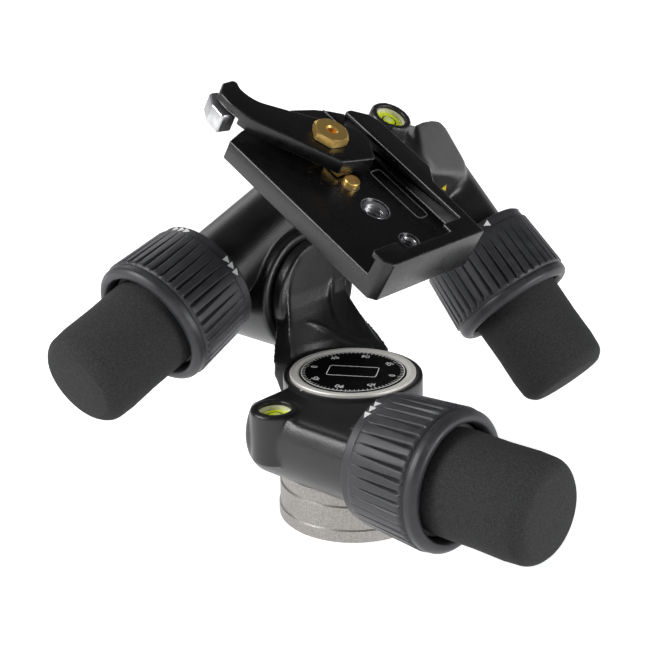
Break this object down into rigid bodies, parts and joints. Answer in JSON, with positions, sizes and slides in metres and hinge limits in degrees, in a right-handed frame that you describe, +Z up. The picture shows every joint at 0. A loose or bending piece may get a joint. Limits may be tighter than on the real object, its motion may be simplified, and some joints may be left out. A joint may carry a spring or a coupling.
{
  "type": "geared tripod head",
  "caption": "Geared tripod head whose worm-gear knobs pan it and tilt it forward and sideways, with quick-set rings, bubble levels and a quick-release plate clamp on top.",
  "frame": {"origin": "middle of the base's underside, on the pan axis, where the tripod's stud enters", "axes": "+Z up along the pan axis, +X the way the pan knob points and along the front tilt axis, +Y to the back"},
  "size_m": [0.2023, 0.2149, 0.1705],
  "materials": {
    "cast_black": "satin fine-grained black paint on cast aluminium",
    "plate_paint": "smooth semi-gloss black paint",
    "base_metal": "bead-blasted, warm grey",
    "dial_metal": "turned, bright",
    "dial_black": "glossy black with white marks",
    "steel": "satin",
    "dark_steel": "dark oxide",
    "brass": "turned and polished",
    "bronze": "machined bronze",
    "nylon": "plain",
    "ring_rubber": "ribbed black rubber with white marks",
    "grip_foam": "soft speckled charcoal foam",
    "knob_plastic": "moulded black",
    "vial_fluid": "clear yellow-green with a black circle"
  },
  "bodies": {
    "base": {"tripod_base": "base_metal", "socket_bush": "steel", "pan_spindle": "dark_steel", "thrust_washer": "nylon", "retaining_nut": "dark_steel", "dial_carrier": "dark_steel", "dial_ring": "dial_metal", "dial_face": "dial_black", "base_screw_1": "steel", "base_screw_2": "steel", "base_screw_3": "steel", "pan_worm_wheel": "bronze"},
    "pan_body": {"pan_housing": "cast_black", "pan_level_vial": "vial_fluid", "pan_worm_bearing": "bronze", "front_axle": "steel", "front_worm_wheel": "bronze"},
    "pan_knob": {"pan_worm": "steel", "pan_knob_hub": "knob_plastic", "pan_knob_grip": "grip_foam"},
    "pan_ring": {"pan_quick_set_ring": "ring_rubber"},
    "front_body": {"front_tilt_housing": "cast_black", "front_drum_cap": "cast_black", "front_worm_bearing": "bronze", "side_axle": "steel", "side_worm_wheel": "bronze"},
    "front_knob": {"front_worm": "steel", "front_knob_hub": "knob_plastic", "front_knob_grip": "grip_foam"},
    "front_ring": {"front_quick_set_ring": "ring_rubber"},
    "side_body": {"side_tilt_housing": "cast_black", "side_drum_cap": "cast_black", "side_worm_bearing": "bronze", "top_level_vial": "vial_fluid", "adapter_plate": "plate_paint", "adapter_screw_large": "steel", "adapter_screw_small": "steel", "lever_pivot": "brass"},
    "side_knob": {"side_worm": "steel", "side_knob_hub": "knob_plastic", "side_knob_grip": "grip_foam"},
    "side_ring": {"side_quick_set_ring": "ring_rubber"},
    "lever": {"clamp_lever": "plate_paint", "clamp_jaw": "brass", "catch_pin": "steel"},
    "catch": {"safety_catch": "steel"},
    "trigger": {"trigger_pin": "brass"}
  },
  "joints": [
    {"name": "pan_turn", "type": "hinge", "parent": "base", "child": "pan_body", "pos_m": [0, 0, 0.046], "axis": [0, 0, 1], "continuous": true},
    {"name": "pan_knob_turn", "type": "hinge", "parent": "pan_body", "child": "pan_knob", "pos_m": [0.0404, -0.031, 0.046], "axis": [1, 0, 0], "continuous": true},
    {"name": "pan_ring_turn", "type": "hinge", "parent": "pan_body", "child": "pan_ring", "pos_m": [0.0404, -0.031, 0.046], "axis": [1, 0, 0], "range_deg": [0, 45], "stiffness_Nm_per_rad": 0.2},
    {"name": "front_tilt", "type": "hinge", "parent": "pan_body", "child": "front_body", "pos_m": [-0.0615, 0.0207, 0.0775], "axis": [1, 0, 0], "range_deg": [-30, 40]},
    {"name": "front_knob_turn", "type": "hinge", "parent": "front_body", "child": "front_knob", "pos_m": [-0.0615, 0.01249, 0.10005], "axis": [0, -0.9397, -0.342], "continuous": true},
    {"name": "front_ring_turn", "type": "hinge", "parent": "front_body", "child": "front_ring", "pos_m": [-0.0615, 0.01249, 0.10005], "axis": [0, -0.9397, -0.342], "range_deg": [0, 45], "stiffness_Nm_per_rad": 0.2},
    {"name": "side_tilt", "type": "hinge", "parent": "front_body", "child": "side_body", "pos_m": [-0.0563, 0.0982, 0.0897], "axis": [0, 1, 0], "range_deg": [-120, 0]},
    {"name": "side_knob_turn", "type": "hinge", "parent": "side_body", "child": "side_knob", "pos_m": [-0.03933, 0.0982, 0.10667], "axis": [0.7071, 0, -0.7071], "continuous": true},
    {"name": "side_ring_turn", "type": "hinge", "parent": "side_body", "child": "side_ring", "pos_m": [-0.03933, 0.0982, 0.10667], "axis": [0.7071, 0, -0.7071], "range_deg": [0, 45], "stiffness_Nm_per_rad": 0.2},
    {"name": "lever_turn", "type": "hinge", "parent": "side_body", "child": "lever", "pos_m": [-0.01134, -0.003, 0.14457], "axis": [0.5, 0, 0.866], "range_deg": [-50, 0]},
    {"name": "catch_turn", "type": "hinge", "parent": "lever", "child": "catch", "pos_m": [-0.03901, -0.02417, 0.16055], "axis": [0.5, 0, 0.866], "range_deg": [0, 15], "stiffness_Nm_per_rad": 0.02},
    {"name": "trigger_press", "type": "slide", "parent": "side_body", "child": "trigger", "axis": [-0.5, 0, -0.866], "range_m": [0, 0.002], "stiffness_N_per_m": 300}
  ],
  "couplings": [
    {"joint": "pan_knob_turn", "follows": "pan_turn", "ratio": 36},
    {"joint": "front_knob_turn", "follows": "front_tilt", "ratio": 36},
    {"joint": "side_knob_turn", "follows": "side_tilt", "ratio": 36}
  ]
}
